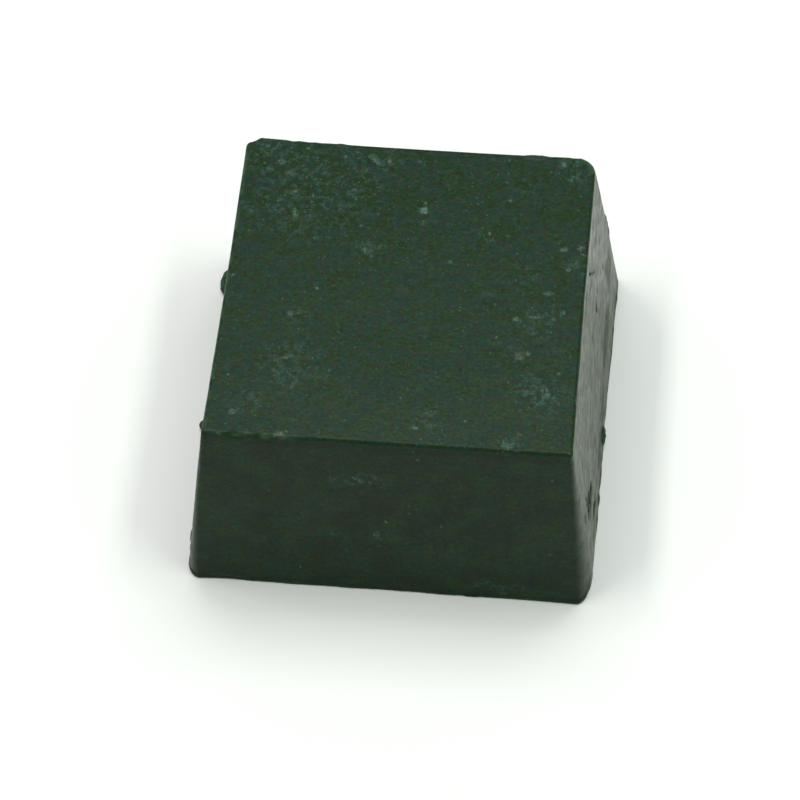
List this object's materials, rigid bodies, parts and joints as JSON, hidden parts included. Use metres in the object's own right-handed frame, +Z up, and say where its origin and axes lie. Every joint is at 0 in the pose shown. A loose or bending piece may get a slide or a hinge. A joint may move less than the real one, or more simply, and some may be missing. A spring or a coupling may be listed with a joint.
{
  "type": "polishing compound block",
  "caption": "Dark-green cast block of wax-bound compound or chalk with drafted sides, flat top and base, rim nibs and clinging crumbs.",
  "frame": {"origin": "centre of the flat base, on the surface that the block rests on", "axes": "+Z up, out of the smaller face; +X to the right and +Y to the rear, square to the sides"},
  "size_m": [0.0477, 0.0472, 0.025],
  "materials": {
    "cast_compound": "satin",
    "broken_compound": "matte",
    "brown_grit": "satin"
  },
  "bodies": {
    "root": {"cast_block": "cast_compound", "rear_left_flake": "broken_compound", "left_rim_bead": "brown_grit", "left_rim_crumb": "broken_compound", "right_rim_crumb": "broken_compound"}
  },
  "joints": []
}
